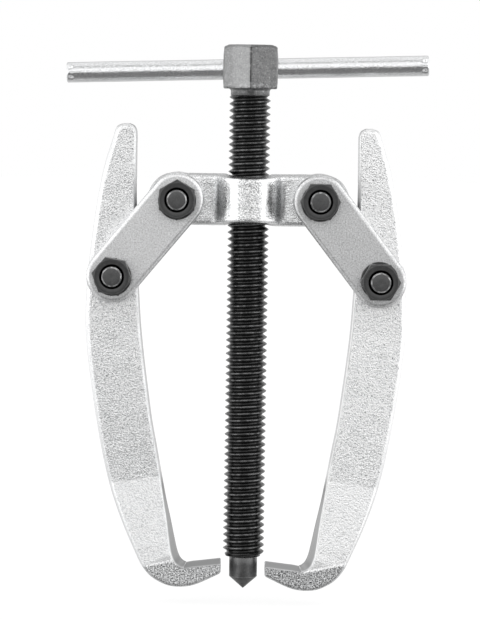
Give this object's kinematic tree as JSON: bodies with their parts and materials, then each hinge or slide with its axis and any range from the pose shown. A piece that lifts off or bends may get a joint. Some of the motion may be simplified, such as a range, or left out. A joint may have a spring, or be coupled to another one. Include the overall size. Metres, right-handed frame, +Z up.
{
  "type": "gear puller",
  "caption": "Two-jaw gear puller: a threaded crosshead carries a forcing screw with a sliding tommy bar, and hooked jaws hang from it on paired links.",
  "frame": {"origin": "tip of the centre point, on the forcing screw's axis", "axes": "+Z up the screw axis to the hex head, +X along the crosshead to the right, -Y towards the nut side"},
  "size_m": [0.1072, 0.0299, 0.1617],
  "materials": {
    "forged_zinc": "bright zinc plating over a blasted forging skin, coarse sparkling grain",
    "satin_plate": "satin zinc plate, fine grain, polished rounded rim",
    "zinc_bar": "bright plated round bar, faint drawing lines",
    "black_oxide": "oiled black oxide, semi-gloss thread; worn gunmetal hexagon",
    "gunmetal": "dark turned steel, satin",
    "dark_hardware": "black oxide fasteners, satin"
  },
  "bodies": {
    "frame_body": {"crosshead": "forged_zinc"},
    "left_links": {"link_left_front": "satin_plate", "link_left_rear": "satin_plate", "bolt_upper_left": "dark_hardware", "bolt_lower_left": "dark_hardware", "nut_upper_left": "dark_hardware", "nut_lower_left": "dark_hardware", "washer_upper_left": "dark_hardware", "washer_lower_left": "dark_hardware"},
    "right_links": {"link_right_front": "satin_plate", "link_right_rear": "satin_plate", "bolt_upper_right": "dark_hardware", "bolt_lower_right": "dark_hardware", "nut_upper_right": "dark_hardware", "nut_lower_right": "dark_hardware", "washer_upper_right": "dark_hardware", "washer_lower_right": "dark_hardware"},
    "left_jaw": {"jaw_left": "forged_zinc"},
    "right_jaw": {"jaw_right": "forged_zinc"},
    "live_centre": {"centre_point": "gunmetal"},
    "screw": {"forcing_screw": "black_oxide"},
    "bar": {"tommy_bar": "zinc_bar"}
  },
  "joints": [
    {"name": "left_link_swing", "type": "hinge", "parent": "frame_body", "child": "left_links", "pos_m": [-0.021, 0, 0.1157], "axis": [0, 1, 0], "range_deg": [0, 35]},
    {"name": "right_link_swing", "type": "hinge", "parent": "frame_body", "child": "right_links", "pos_m": [0.021, 0, 0.1157], "axis": [0, -1, 0], "range_deg": [0, 35]},
    {"name": "left_jaw_swing", "type": "hinge", "parent": "left_links", "child": "left_jaw", "pos_m": [-0.0397, 0, 0.09301], "axis": [0, 1, 0], "range_deg": [0, 4.8]},
    {"name": "right_jaw_swing", "type": "hinge", "parent": "right_links", "child": "right_jaw", "pos_m": [0.03898, 0, 0.09244], "axis": [0, -1, 0], "range_deg": [0, 4.8]},
    {"name": "screw_travel", "type": "slide", "parent": "frame_body", "child": "live_centre", "axis": [0, 0, 1], "range_m": [-0.0041, 0.0901]},
    {"name": "screw_turn", "type": "hinge", "parent": "live_centre", "child": "screw", "pos_m": [0, 0, 0], "axis": [0, 0, 1], "range_deg": [-720, 16200]},
    {"name": "bar_slide", "type": "slide", "parent": "screw", "child": "bar", "axis": [0.9995, 0, 0.0332], "range_m": [-0.04, 0.0415]}
  ],
  "couplings": [
    {"joint": "screw_travel", "follows": "screw_turn", "m_per_rad": 0.00031831}
  ]
}
